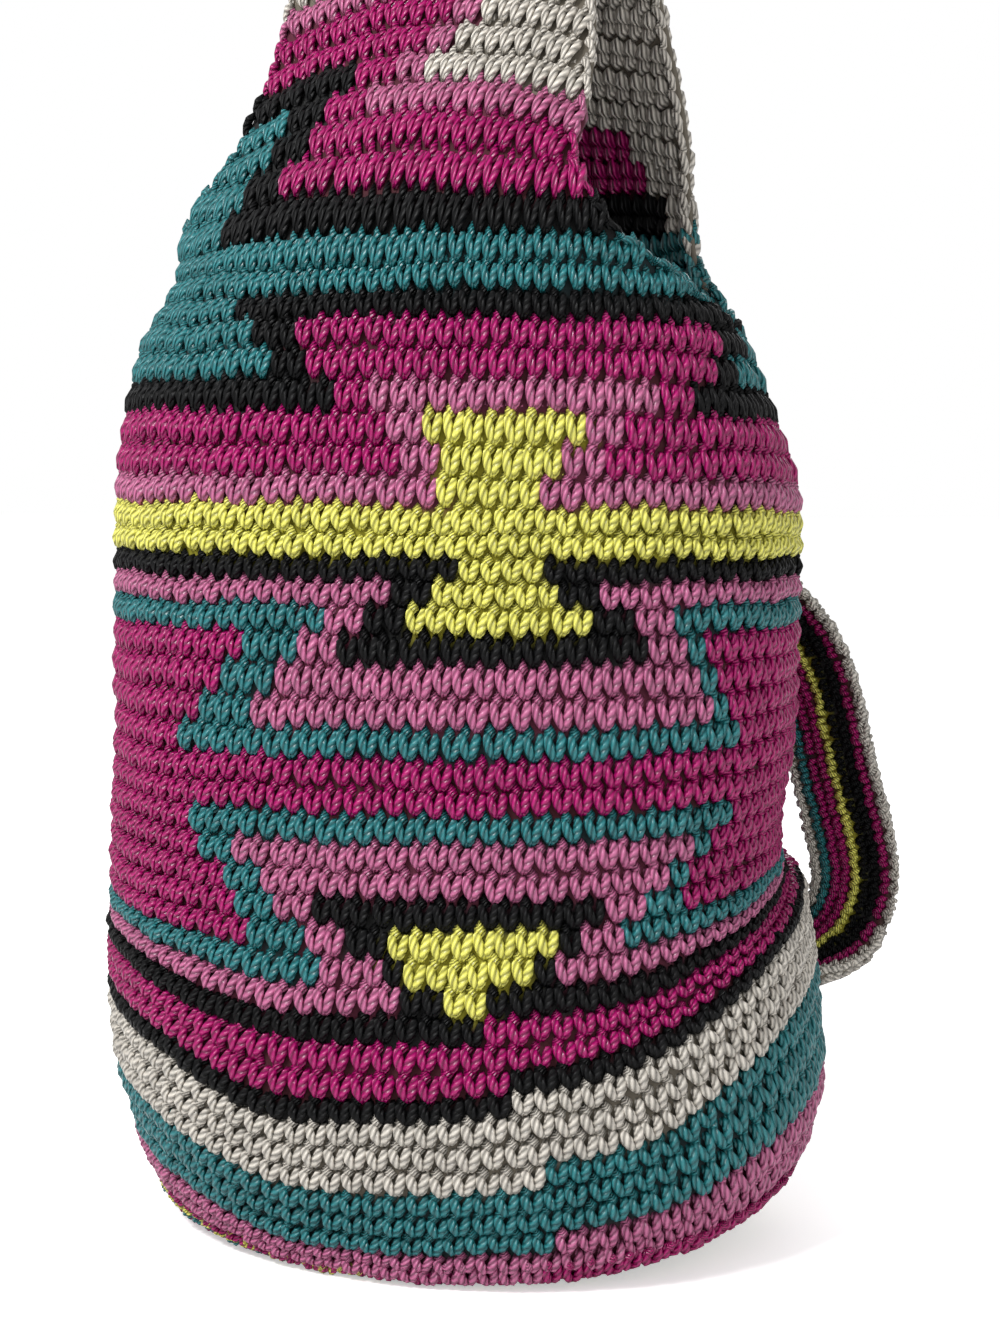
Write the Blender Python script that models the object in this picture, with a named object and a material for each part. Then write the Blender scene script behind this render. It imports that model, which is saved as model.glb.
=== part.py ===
"""Crocheted hobo bag with a broad shoulder handle and a striped sling strap.

Metres, +Z up. The origin is the middle of the flat patch that the bag rests on.
The handle runs over from the front (-Y) to the back (+Y), so the two side
openings of the mouth face +X and -X. The worked motif faces a little to the
right of the front, as it does on a soft bag that has twisted under its handle.
"""

import math

import bmesh
import bpy
import numpy as np
from mathutils import Quaternion, Vector

# The crocheted fabric
STITCHES_ROUND = 100
WALL_THICKNESS = 0.006
ROW_RIDGE_DEPTH = 0.0018
SEWN_GAP = 0.0003

# Half widths and half depths of the bag, from the floor up
REST_HALF_WIDTH = 0.080
REST_HALF_DEPTH = 0.070
FOOT_HALF_WIDTH = 0.129
FOOT_HALF_DEPTH = 0.099
BULGE_HALF_WIDTH = 0.1345
BULGE_HALF_DEPTH = 0.114
BODY_HALF_WIDTH = 0.131
BODY_HALF_DEPTH = 0.093
SHOULDER_HALF_WIDTH = 0.1165
SHOULDER_HALF_DEPTH = 0.082
NECK_HALF_DEPTH = 0.062
HANDLE_TOP_HALF_DEPTH = 0.012

# How far each stretch of the wall rises above the one below it
FOOT_RISE = 0.022
STRIPES_RISE = 0.087
LOWER_MOTIF_RISE = 0.084
UPPER_MOTIF_RISE = 0.073
SHOULDER_RISE = 0.065
MOUTH_RISE = 0.074
NECK_RISE = 0.046
HANDLE_RISE = 0.112

# How the loaded bag hangs: its rows dip at the front and climb at the strap side
FRONT_SAG = 0.020
SLUMP = 0.010
EDGE_LIFT = 0.020
EDGE_START = 0.4
STRAP_SIDE_LIFT = 0.016
PANEL_ARCH = 0.013
HANG_DIRECTION = math.radians(28)

# Side openings, counted in stitches round and in rows up
PANEL_CENTRE = -6.9
PANEL_HALF_WIDTH = 12.4
HANDLE_TOP_HALF_WIDTH = 8.3
RIGHT_FORK_ROW = 36.5
RIGHT_FORK_STITCH = 20.0
RIGHT_OPENING_ROWS = 6.0
LEFT_FORK_ROW = 38.5
LEFT_FORK_STITCH = -32.0
LEFT_OPENING_ROWS = 4.5
FORK_HALF_WIDTH = 1.5
OPENING_CURVE = 1.3

# Rows of stitches, counted from the edge of the base
REST_ROW = -4
FIRST_ROW = 1
LAST_ROW = 56
PANEL_ROW = 43

# The sling strap
STRAP_WIDTH = 0.037
STRAP_THICKNESS = 0.007
STRAP_COLUMNS = 9
STRAP_RIB_DEPTH = 0.0010
STRAP_SWING = 0.030
STRAP_UPRIGHT = 0.35
STRAP_EDGE_CLEARANCE = 0.0005

# How finely the surfaces are divided
PANEL_COLUMNS = 14
FORK_COLUMNS = 2
INNER_ROW_STEP = 3
ARCH_STEPS = 6
STRAP_STEPS = 27
STRAP_SMOOTHING = 3
OUTLINE_SAMPLES = 720

# row, rise, half width, half depth, squareness
SHAPE = (
    (-4, 0.0, REST_HALF_WIDTH, REST_HALF_DEPTH, 2.0),
    (-1, 0.3 * FOOT_RISE, 0.79 * FOOT_HALF_WIDTH, 0.92 * FOOT_HALF_DEPTH, 2.0),
    (1, 0.7 * FOOT_RISE, FOOT_HALF_WIDTH, FOOT_HALF_DEPTH, 2.0),
    (3, 0.17 * STRIPES_RISE, 1.007 * BULGE_HALF_WIDTH, 0.93 * BULGE_HALF_DEPTH, 2.1),
    (6, 0.27 * STRIPES_RISE, 1.011 * BULGE_HALF_WIDTH, 0.99 * BULGE_HALF_DEPTH, 2.25),
    (9, 0.29 * STRIPES_RISE, BULGE_HALF_WIDTH, BULGE_HALF_DEPTH, 2.3),
    (12, 0.27 * STRIPES_RISE, 0.97 * BULGE_HALF_WIDTH, 0.95 * BULGE_HALF_DEPTH, 2.35),
    (16, 0.39 * LOWER_MOTIF_RISE, 0.985 * BODY_HALF_WIDTH, 1.075 * BODY_HALF_DEPTH, 2.4),
    (22, 0.61 * LOWER_MOTIF_RISE, BODY_HALF_WIDTH, BODY_HALF_DEPTH, 2.45),
    (26, 0.55 * UPPER_MOTIF_RISE, BODY_HALF_WIDTH, 0.985 * BODY_HALF_DEPTH, 2.45),
    (30, 0.45 * UPPER_MOTIF_RISE, BODY_HALF_WIDTH, 0.97 * BODY_HALF_DEPTH, 2.45),
    (36, SHOULDER_RISE, SHOULDER_HALF_WIDTH, SHOULDER_HALF_DEPTH, 2.4),
    (39, 0.40 * MOUTH_RISE, 0.89 * SHOULDER_HALF_WIDTH, 0.93 * SHOULDER_HALF_DEPTH, 2.4),
    (42, 0.60 * MOUTH_RISE, 1.01 * SHOULDER_HALF_WIDTH, NECK_HALF_DEPTH, 2.4),
    (46, NECK_RISE, 1.13 * SHOULDER_HALF_WIDTH, 0.66 * NECK_HALF_DEPTH, 2.4),
    (57, HANDLE_RISE, 1.29 * SHOULDER_HALF_WIDTH, HANDLE_TOP_HALF_DEPTH, 2.4),
)

# row, share of the slump along x and y, turn in degrees, sag, lift, edge lift, stitch of the motif's middle
HANG = (
    (-4, 0.00, 0.00, -6, 0.0, 0.0, 0, 7.0),
    (-1, -0.80, -0.70, -6, 0.2, 0.1, 0.05, 7.0),
    (1, 0.70, -0.50, -8, 0.85, 0.4, 0.25, 7.0),
    (3, 0.80, 0.00, -10, 1.0, 0.8, 0.55, 6.8),
    (6, 0.30, 0.20, -12, 1.0, 1.0, 1.0, 6.4),
    (9, 0.05, 0.20, -14, 1.0, 1.0, 1.05, 5.8),
    (12, -0.35, 0.10, -15, 0.9, 0.55, 0.6, 5.0),
    (16, -0.40, 0.00, -16, 0.6, 0.3, 0.05, 4.3),
    (22, 0.00, 0.00, -16, 0.25, 0.25, 0, 4.1),
    (26, 0.05, 0.00, -16, 0.1, 0.1, 0, 4.1),
    (30, 0.10, 0.00, -16, 0.0, 0.0, 0, 4.1),
    (36, -0.30, -0.40, -10, 0.0, 0.0, 0, 5.7),
    (39, -0.20, -0.40, -4, 0.0, 0.0, 0, 7.0),
    (42, 0.30, 0.10, 0, 0.0, 0.0, 0, 6.9),
    (46, 0.70, 0.40, 0, 0.0, 0.0, 0, 6.9),
    (57, 0.70, 0.40, 0, 0.0, 0.0, 0, 6.9),
)

# The strap's way: stitch, row, swing off the fabric, turn from the fabric, tilt down
STRAP_STOPS = (
    (42.0, 35.0, 0.02, 0, 0),
    (38.5, 31.5, 0.10, 0, 0),
    (34.0, 27.2, 0.55, 12, 0),
    (29.8, 22.7, 0.90, 36, 0),
    (28.0, 18.0, 0.92, 52, 0),
    (27.4, 13.5, 1.05, 62, 0),
    (27.2, 8.2, 1.02, 65, 10),
    (27.1, 6.3, 0.90, 65, 30),
    (27.0, 5.0, 0.45, 65, 60),
    (27.0, 4.7, -0.055, 65, 80),
)


def smooth_curve(stops, values, at):
    """A curve through the values that never overshoots between two stops."""
    step = np.diff(stops)
    slope = np.diff(values) / step
    bend = np.zeros(len(stops))
    bend[0] = slope[0]
    bend[-1] = slope[-1]
    for i in range(1, len(stops) - 1):
        if slope[i - 1] * slope[i] > 0:
            before = 2 * step[i] + step[i - 1]
            after = step[i] + 2 * step[i - 1]
            bend[i] = (before + after) / (before / slope[i - 1] + after / slope[i])
    i = min(max(int(np.searchsorted(stops, at)) - 1, 0), len(step) - 1)
    t = (at - stops[i]) / step[i]
    start = values[i] * (1 + 2 * t) * (1 - t) ** 2 + step[i] * bend[i] * t * (1 - t) ** 2
    end = values[i + 1] * t * t * (3 - 2 * t) + step[i] * bend[i + 1] * t * t * (t - 1)
    return start + end


SECTION_ROWS = np.array(SHAPE)[:, 0]
SECTION_VALUES = np.column_stack([np.array(SHAPE)[:, 1:], np.array(HANG)[:, 1:]])
SECTION_VALUES[:, 0] = np.cumsum(SECTION_VALUES[:, 0])
SECTION_VALUES[:, 4:6] *= SLUMP


def section(row):
    """The section's eleven values at a row, whole or fractional."""
    return [smooth_curve(SECTION_ROWS, values, row) for values in SECTION_VALUES.T]


def ring_points(row, stitches):
    """Points of the fabric's face along one row, at the given stitches from the motif's middle."""
    height, width, depth, square, shift_x, shift_y, turn, sag, lift, edge, motif = section(row)
    stitches = np.asarray(stitches, float)
    angle = np.linspace(-math.pi / 2, 3 * math.pi / 2, OUTLINE_SAMPLES + 1)
    across = np.cos(angle)
    along = np.sin(angle)
    x = width * np.sign(across) * np.abs(across) ** (2 / square)
    y = depth * np.sign(along) * np.abs(along) ** (2 / square)
    length = np.concatenate([[0.0], np.cumsum(np.hypot(np.diff(x), np.diff(y)))])
    wanted = ((stitches + motif) / STITCHES_ROUND % 1.0) * length[-1]
    px = np.interp(wanted, length, x)
    py = np.interp(wanted, length, y)
    turn = math.radians(turn)
    wx = px * math.cos(turn) + py * math.sin(turn)
    wy = py * math.cos(turn) - px * math.sin(turn)
    forward = (wx * math.sin(HANG_DIRECTION) - wy * math.cos(HANG_DIRECTION)) / depth
    sideways = (wx * math.cos(HANG_DIRECTION) + wy * math.sin(HANG_DIRECTION)) / width
    ramp = np.clip((np.abs(sideways) - EDGE_START) / (1 - EDGE_START), 0.0, 1.0)
    z = height - FRONT_SAG * sag * forward + STRAP_SIDE_LIFT * lift * sideways
    z += EDGE_LIFT * edge * ramp * ramp * (3 - 2 * ramp)
    return np.column_stack([wx + shift_x, wy + shift_y, z - panel_droop(row, stitches)])


def panel_droop(row, stitches):
    """How far a panel's row hangs below its middle, which the handle pulls up."""
    grown = min(max((row - LEFT_FORK_ROW) / LEFT_OPENING_ROWS, 0.0), 1.0)
    half_round = STITCHES_ROUND / 2
    off = (stitches - PANEL_CENTRE + half_round / 2) % half_round - half_round / 2
    return PANEL_ARCH * grown * np.minimum(np.abs(off / PANEL_HALF_WIDTH), 1.0) ** 2


def face_points(row, stitches, inward):
    """Points a given depth under the fabric's face."""
    stitches = np.asarray(stitches, float)
    here = ring_points(row, stitches)
    sideways = ring_points(row, stitches + 0.5) - ring_points(row, stitches - 0.5)
    upward = ring_points(row + 0.3, stitches) - ring_points(row - 0.3, stitches)
    outward = np.cross(sideways, upward)
    outward /= np.linalg.norm(outward, axis=1)[:, None]
    return here - outward * inward


def opened(row, fork_row, rows):
    """0 at an opening's fork, 1 where the opening has its full width."""
    part = min(max((row - fork_row) / rows, 0.0), 1.0)
    return math.sin(math.pi / 2 * part) ** OPENING_CURVE


def rims(row):
    """Stitches of the four rims: front left, front right, back right, back left."""
    taper = min(max((row - PANEL_ROW) / (LAST_ROW - PANEL_ROW), 0.0), 1.0)
    half = PANEL_HALF_WIDTH + (HANDLE_TOP_HALF_WIDTH - PANEL_HALF_WIDTH) * taper
    back_centre = PANEL_CENTRE + STITCHES_ROUND / 2
    right = opened(row, RIGHT_FORK_ROW, RIGHT_OPENING_ROWS)
    left = opened(row, LEFT_FORK_ROW, LEFT_OPENING_ROWS)
    left_fork_behind = LEFT_FORK_STITCH + STITCHES_ROUND
    front_left = LEFT_FORK_STITCH + FORK_HALF_WIDTH
    front_right = RIGHT_FORK_STITCH - FORK_HALF_WIDTH
    back_right = RIGHT_FORK_STITCH + FORK_HALF_WIDTH
    back_left = left_fork_behind - FORK_HALF_WIDTH
    return (
        front_left + (PANEL_CENTRE - half - front_left) * left,
        front_right + (PANEL_CENTRE + half - front_right) * right,
        back_right + (back_centre - half - back_right) * right,
        back_left + (back_centre + half - back_left) * left,
    )


def column_stitches(row):
    """Where each column of the mesh crosses a row: front, right fork, back, left fork."""
    front_left, front_right, back_right, back_left = rims(row)
    spans = (
        (front_left, front_right, PANEL_COLUMNS),
        (front_right, back_right, FORK_COLUMNS),
        (back_right, back_left, PANEL_COLUMNS),
        (back_left, front_left + STITCHES_ROUND, FORK_COLUMNS),
    )
    parts = [np.linspace(start, end, count, endpoint=False) for start, end, count in spans]
    return np.concatenate(parts)


def is_open(column, row):
    """Whether the mesh column lies in a side opening above the given row."""
    right = PANEL_COLUMNS <= column < PANEL_COLUMNS + FORK_COLUMNS
    left = column >= 2 * PANEL_COLUMNS + FORK_COLUMNS
    return (right and row >= RIGHT_FORK_ROW) or (left and row >= LEFT_FORK_ROW)


def add_ring(mesh, row, inward):
    """Adds one ring of vertices and returns them."""
    points = face_points(row, column_stitches(row), inward)
    if row <= REST_ROW:
        points[:, 2] = inward
    return [mesh.verts.new(Vector(p)) for p in points]


def join_rings(mesh, low, high, row):
    """Faces between two rings, apart from the columns that lie in an opening."""
    count = len(low)
    for column in range(count):
        if is_open(column, row):
            continue
        after = (column + 1) % count
        mesh.faces.new((low[column], low[after], high[after], high[column]))


def rim_columns():
    """The mesh column on each rim and the row of the fork that it starts from."""
    right = PANEL_COLUMNS
    left = 2 * PANEL_COLUMNS + FORK_COLUMNS
    return (
        (right, RIGHT_FORK_ROW),
        (right + FORK_COLUMNS, RIGHT_FORK_ROW),
        (left, LEFT_FORK_ROW),
        (0, LEFT_FORK_ROW),
    )


def close_rims(mesh, outer, inner):
    """Closes the fabric's edge up each rim and along the bottom of each opening."""
    for column, fork_row in rim_columns():
        row = fork_row
        while row + 1 <= LAST_ROW + 0.5:
            edge = [outer[row][column], outer[row + 0.5][column], outer[row + 1][column]]
            edge += [inner[row + 1][column], inner[row][column]]
            mesh.faces.new(edge)
            row += 1
    for first, fork_row in (rim_columns()[0], rim_columns()[2]):
        for column in range(first, first + FORK_COLUMNS):
            after = (column + 1) % len(outer[fork_row])
            lip = (outer[fork_row][column], outer[fork_row][after])
            mesh.faces.new(lip + (inner[fork_row][after], inner[fork_row][column]))


def arch_row(mesh, front, back, step):
    """One row of vertices over the handle's top, between the front and the back panel."""
    turn = math.pi * step / ARCH_STEPS
    row = []
    for column in range(PANEL_COLUMNS + 1):
        a = front[column].co
        b = back[PANEL_COLUMNS - column].co
        middle = (a + b) / 2
        half = (a - b) / 2
        rise = Vector((0, 0, half.length * math.sin(turn)))
        row.append(mesh.verts.new(middle + half * math.cos(turn) + rise))
    return row


def panel_of(ring, first):
    """The vertices of one panel in a ring, rim to rim."""
    return [ring[(first + i) % len(ring)] for i in range(PANEL_COLUMNS + 1)]


def close_handle(mesh, outer, inner):
    """Joins the two panels over the shoulder, outside and inside."""
    sides = []
    for ring in (outer, inner):
        front = panel_of(ring, 0)
        back = panel_of(ring, PANEL_COLUMNS + FORK_COLUMNS)
        rows = [front]
        rows += [arch_row(mesh, front, back, step) for step in range(1, ARCH_STEPS)]
        rows.append(list(reversed(back)))
        for low, high in zip(rows, rows[1:]):
            for i in range(PANEL_COLUMNS):
                mesh.faces.new((low[i], low[i + 1], high[i + 1], high[i]))
        sides.append(rows)
    for end in (0, PANEL_COLUMNS):
        for i in range(ARCH_STEPS):
            outside = (sides[0][i][end], sides[0][i + 1][end])
            mesh.faces.new(outside + (sides[1][i + 1][end], sides[1][i][end]))


def outer_rows():
    """Rows of the outside rings: a crest on each row and a groove between two rows."""
    rows = [(REST_ROW, 0.0), (-2.5, 0.0), (-1.0, 0.0), (0.5, ROW_RIDGE_DEPTH)]
    for row in range(FIRST_ROW, LAST_ROW + 1):
        rows.append((float(row), 0.0))
        rows.append((row + 0.5, ROW_RIDGE_DEPTH))
    return rows


def inner_rows():
    """Rows of the inside rings, coarse in the body and one to a row beside the openings."""
    rows = [float(REST_ROW), -1.5]
    row = 0.5
    while row < RIGHT_FORK_ROW:
        rows.append(row)
        row += INNER_ROW_STEP
    row = RIGHT_FORK_ROW
    while row <= LAST_ROW + 0.5:
        rows.append(row)
        row += 1
    return rows


def make_bag_body(material):
    """The crocheted piece: base, ridged wall, two side openings and the shoulder handle."""
    mesh = bmesh.new()
    outer = {row: add_ring(mesh, row, inward) for row, inward in outer_rows()}
    inner = {row: add_ring(mesh, row, WALL_THICKNESS) for row in inner_rows()}
    for rings in (outer, inner):
        rows = sorted(rings)
        for low, high in zip(rows, rows[1:]):
            join_rings(mesh, rings[low], rings[high], low)
        mesh.faces.new(rings[REST_ROW])
    close_rims(mesh, outer, inner)
    close_handle(mesh, outer[LAST_ROW + 0.5], inner[LAST_ROW + 0.5])
    return finish_mesh(mesh, "bag_body", material)


def strap_route():
    """The strap's middle line and the way its flat side faces, from the back to the side."""
    lying = SEWN_GAP + STRAP_EDGE_CLEARANCE + STRAP_THICKNESS / 2
    centres = []
    facings = []
    for stitch, row, swing, turn, tilt in STRAP_STOPS:
        on_fabric = ring_points(row, [stitch])[0]
        normal = Vector(face_points(row, [stitch], -lying)[0] - on_fabric)
        normal.z *= STRAP_UPRIGHT
        normal.normalize()
        centre = on_fabric + np.array(normal) * (lying + swing * STRAP_SWING)
        normal.rotate(Quaternion((0, 0, 1), math.radians(turn)))
        tilt = math.radians(tilt)
        centres.append(centre)
        facings.append(normal * math.cos(tilt) + Vector((0, 0, -math.sin(tilt))))
    return np.array(centres), np.array(facings)


def strap_profile():
    """The strap's section, with one rib on both sides for each column of stitches."""
    pitch = STRAP_WIDTH / STRAP_COLUMNS
    crest = STRAP_THICKNESS / 2
    groove = crest - STRAP_RIB_DEPTH
    side = []
    for column in range(STRAP_COLUMNS):
        start = -STRAP_WIDTH / 2 + column * pitch
        side.append((start, groove))
        side.append((start + pitch / 2, crest))
    return side + [(-across, -off) for across, off in side]


def make_sling_strap(material):
    """The striped crocheted strap: a ribbed band sewn to the back and to the lower side."""
    centres, facings = strap_route()
    lengths = np.concatenate([[0.0], np.cumsum(np.linalg.norm(np.diff(centres, axis=0), axis=1))])
    at = np.linspace(0, lengths[-1], STRAP_STEPS)
    middle = np.array([[smooth_curve(lengths, centres[:, k], s) for k in range(3)] for s in at])
    facing = np.array([[smooth_curve(lengths, facings[:, k], s) for k in range(3)] for s in at])
    for _ in range(STRAP_SMOOTHING):
        middle[1:-1] = (middle[:-2] + 2 * middle[1:-1] + middle[2:]) / 4
        facing[1:-1] = (facing[:-2] + 2 * facing[1:-1] + facing[2:]) / 4
    tangents = np.gradient(middle, axis=0)
    mesh = bmesh.new()
    rings = []
    for point, tangent, normal in zip(middle, tangents, facing):
        tangent = tangent / np.linalg.norm(tangent)
        normal = normal - tangent * normal.dot(tangent)
        normal /= np.linalg.norm(normal)
        width = np.cross(tangent, normal)
        rings.append([mesh.verts.new(Vector(point + width * w + normal * n)) for w, n in strap_profile()])
    for low, high in zip(rings, rings[1:]):
        for i in range(len(low)):
            after = (i + 1) % len(low)
            mesh.faces.new((low[i], low[after], high[after], high[i]))
    mesh.faces.new(rings[0])
    mesh.faces.new(rings[-1])
    return finish_mesh(mesh, "sling_strap", material)


def finish_mesh(mesh, name, material):
    """Turns a built mesh into a named object with its faces outward."""
    bmesh.ops.recalc_face_normals(mesh, faces=mesh.faces)
    data = bpy.data.meshes.new(name)
    mesh.to_mesh(data)
    mesh.free()
    data.materials.append(material)
    data.shade_smooth()
    data.set_sharp_from_angle(angle=math.radians(40))
    piece = bpy.data.objects.new(name, data)
    bpy.context.scene.collection.objects.link(piece)
    return piece


def make_material(name, colour, roughness):
    """A plain yarn material."""
    material = bpy.data.materials.new(name)
    material.use_nodes = True
    shader = material.node_tree.nodes["Principled BSDF"]
    shader.inputs["Base Color"].default_value = (*colour, 1.0)
    shader.inputs["Roughness"].default_value = roughness
    shader.inputs["Metallic"].default_value = 0.0
    return material


def main():
    for thing in list(bpy.data.objects):
        bpy.data.objects.remove(thing)
    make_bag_body(make_material("crochet_fabric", (0.40, 0.02, 0.16), 0.55))
    make_sling_strap(make_material("crochet_strap", (0.36, 0.33, 0.28), 0.55))


main()
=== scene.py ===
# %% [markdown]
# # A crocheted hobo bag
# The plain CAD bag gives the size. This lesson covers it with real stitches: every stitch is a small
# V of two plied strands, set on the bag's surface row by row, in the yarn that the pattern asks for.

import math

import bmesh
import bpy
import numpy as np
from mathutils import Matrix, Vector


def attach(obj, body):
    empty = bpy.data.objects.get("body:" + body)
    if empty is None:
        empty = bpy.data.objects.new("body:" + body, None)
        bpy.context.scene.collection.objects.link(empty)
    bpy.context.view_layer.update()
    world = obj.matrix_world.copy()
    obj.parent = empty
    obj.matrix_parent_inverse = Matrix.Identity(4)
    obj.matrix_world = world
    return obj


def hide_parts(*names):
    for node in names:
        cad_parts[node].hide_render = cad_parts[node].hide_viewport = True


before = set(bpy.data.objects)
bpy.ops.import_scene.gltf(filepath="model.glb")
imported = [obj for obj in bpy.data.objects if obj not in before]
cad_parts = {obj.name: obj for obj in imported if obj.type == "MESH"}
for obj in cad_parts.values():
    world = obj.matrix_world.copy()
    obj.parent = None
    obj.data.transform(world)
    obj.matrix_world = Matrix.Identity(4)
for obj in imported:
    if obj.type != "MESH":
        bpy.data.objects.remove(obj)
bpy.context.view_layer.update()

# %% [markdown]
# ## The bag's surface
# The same numbers as in the CAD part. Each entry of SHAPE is one level of the bag, and HANG says how
# the soft bag shifts, turns and sags there. Rows count the rounds of stitches from the base upwards.

# %% Numbers of the bag
STITCHES = 100
WALL = 0.006
FRONT_SAG = 0.020
STRAP_SIDE_LIFT = 0.016
EDGE_LIFT, EDGE_START = 0.020, 0.4
PANEL_ARCH = 0.013
HANG_DIRECTION = math.radians(28)
PANEL_CENTRE = -6.9
PANEL_HALF_WIDTH = 12.4
HANDLE_TOP_HALF_WIDTH = 8.3
RIGHT_FORK_ROW, RIGHT_FORK_STITCH, RIGHT_OPENING_ROWS = 36.5, 20.0, 6.0
LEFT_FORK_ROW, LEFT_FORK_STITCH, LEFT_OPENING_ROWS = 38.5, -32.0, 4.5
FORK_HALF_WIDTH = 1.5
OPENING_CURVE = 1.3
REST_ROW, LAST_ROW, PANEL_ROW = -4, 56, 43

# row, height, half width, half depth, squareness
SHAPE = (
    (-4, 0.0, 0.08, 0.07, 2.0),
    (-1, 0.0066, 0.10191, 0.09108, 2.0),
    (1, 0.022, 0.129, 0.099, 2.0),
    (3, 0.03679, 0.13544, 0.10602, 2.1),
    (6, 0.06028, 0.13598, 0.11286, 2.25),
    (9, 0.08551, 0.1345, 0.114, 2.3),
    (12, 0.109, 0.13046, 0.1083, 2.35),
    (16, 0.14176, 0.12904, 0.09997, 2.4),
    (22, 0.193, 0.131, 0.093, 2.45),
    (26, 0.23315, 0.131, 0.0916, 2.45),
    (30, 0.266, 0.131, 0.09021, 2.45),
    (36, 0.331, 0.1165, 0.082, 2.4),
    (39, 0.3606, 0.10369, 0.07626, 2.4),
    (42, 0.405, 0.11767, 0.062, 2.4),
    (46, 0.451, 0.13164, 0.04092, 2.4),
    (57, 0.563, 0.15029, 0.012, 2.4),
)

# row, shift x, shift y, turn in degrees, sag, lift, edge lift, stitch of the motif's middle
HANG = (
    (-4, 0.0, 0.0, -6, 0.0, 0.0, 0.0, 7.0),
    (-1, -0.008, -0.007, -6, 0.2, 0.1, 0.05, 7.0),
    (1, 0.007, -0.005, -8, 0.85, 0.4, 0.25, 7.0),
    (3, 0.008, 0.0, -10, 1.0, 0.8, 0.55, 6.8),
    (6, 0.003, 0.002, -12, 1.0, 1.0, 1.0, 6.4),
    (9, 0.0005, 0.002, -14, 1.0, 1.0, 1.05, 5.8),
    (12, -0.0035, 0.001, -15, 0.9, 0.55, 0.6, 5.0),
    (16, -0.004, 0.0, -16, 0.6, 0.3, 0.05, 4.3),
    (22, 0.0, 0.0, -16, 0.25, 0.25, 0.0, 4.1),
    (26, 0.0005, 0.0, -16, 0.1, 0.1, 0.0, 4.1),
    (30, 0.001, 0.0, -16, 0.0, 0.0, 0.0, 4.1),
    (36, -0.003, -0.004, -10, 0.0, 0.0, 0.0, 5.7),
    (39, -0.002, -0.004, -4, 0.0, 0.0, 0.0, 7.0),
    (42, 0.003, 0.001, 0, 0.0, 0.0, 0.0, 6.9),
    (46, 0.007, 0.004, 0, 0.0, 0.0, 0.0, 6.9),
    (57, 0.007, 0.004, 0, 0.0, 0.0, 0.0, 6.9),
)


# %% A curve through the levels
def smooth_curve(stops, values, at):
    """A curve through the values that never overshoots between two stops."""
    step = np.diff(stops)
    slope = np.diff(values) / step
    bend = np.zeros(len(stops))
    bend[0] = slope[0]
    bend[-1] = slope[-1]
    for i in range(1, len(stops) - 1):
        if slope[i - 1] * slope[i] > 0:
            before = 2 * step[i] + step[i - 1]
            after = step[i] + 2 * step[i - 1]
            bend[i] = (before + after) / (before / slope[i - 1] + after / slope[i])
    i = np.clip(np.searchsorted(stops, at) - 1, 0, len(step) - 1)
    t = (at - stops[i]) / step[i]
    start = values[i] * (1 + 2 * t) * (1 - t) ** 2 + step[i] * bend[i] * t * (1 - t) ** 2
    end = values[i + 1] * t * t * (3 - 2 * t) + step[i] * bend[i + 1] * t * t * (t - 1)
    return start + end


LEVEL_ROWS = np.array(SHAPE)[:, 0]
LEVELS = np.column_stack([np.array(SHAPE)[:, 1:], np.array(HANG)[:, 1:]])


def ring_points(row, stitches):
    """Points of the fabric's face along one row."""
    height, width, depth, square, shift_x, shift_y, turn, sag, lift, edge, motif = (
        smooth_curve(LEVEL_ROWS, values, row) for values in LEVELS.T
    )
    angle = np.linspace(-math.pi / 2, 3 * math.pi / 2, 721)
    across, along = np.cos(angle), np.sin(angle)
    x = width * np.sign(across) * np.abs(across) ** (2 / square)
    y = depth * np.sign(along) * np.abs(along) ** (2 / square)
    length = np.concatenate([[0.0], np.cumsum(np.hypot(np.diff(x), np.diff(y)))])
    wanted = ((stitches + motif) / STITCHES % 1.0) * length[-1]
    px, py = np.interp(wanted, length, x), np.interp(wanted, length, y)
    turn = math.radians(turn)
    wx = px * math.cos(turn) + py * math.sin(turn)
    wy = py * math.cos(turn) - px * math.sin(turn)
    forward = (wx * math.sin(HANG_DIRECTION) - wy * math.cos(HANG_DIRECTION)) / depth
    sideways = (wx * math.cos(HANG_DIRECTION) + wy * math.sin(HANG_DIRECTION)) / width
    ramp = np.clip((np.abs(sideways) - EDGE_START) / (1 - EDGE_START), 0.0, 1.0)
    z = height - FRONT_SAG * sag * forward + STRAP_SIDE_LIFT * lift * sideways
    z += EDGE_LIFT * edge * ramp * ramp * (3 - 2 * ramp)
    grown = min(max((row - LEFT_FORK_ROW) / LEFT_OPENING_ROWS, 0.0), 1.0)
    off = (stitches - PANEL_CENTRE + STITCHES / 4) % (STITCHES / 2) - STITCHES / 4
    droop = PANEL_ARCH * grown * np.minimum(np.abs(off / PANEL_HALF_WIDTH), 1.0) ** 2
    return np.column_stack([wx + shift_x, wy + shift_y, z - droop])


# %% A table of the whole surface
ROW_STEP, STITCH_STEP = 0.25, 0.25
TABLE_ROWS = np.arange(REST_ROW, LAST_ROW + 1 + ROW_STEP / 2, ROW_STEP)
TABLE_STITCHES = np.arange(0, STITCHES, STITCH_STEP)
TABLE = np.array([ring_points(row, TABLE_STITCHES) for row in TABLE_ROWS])
print("surface table:", TABLE.shape)


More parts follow.
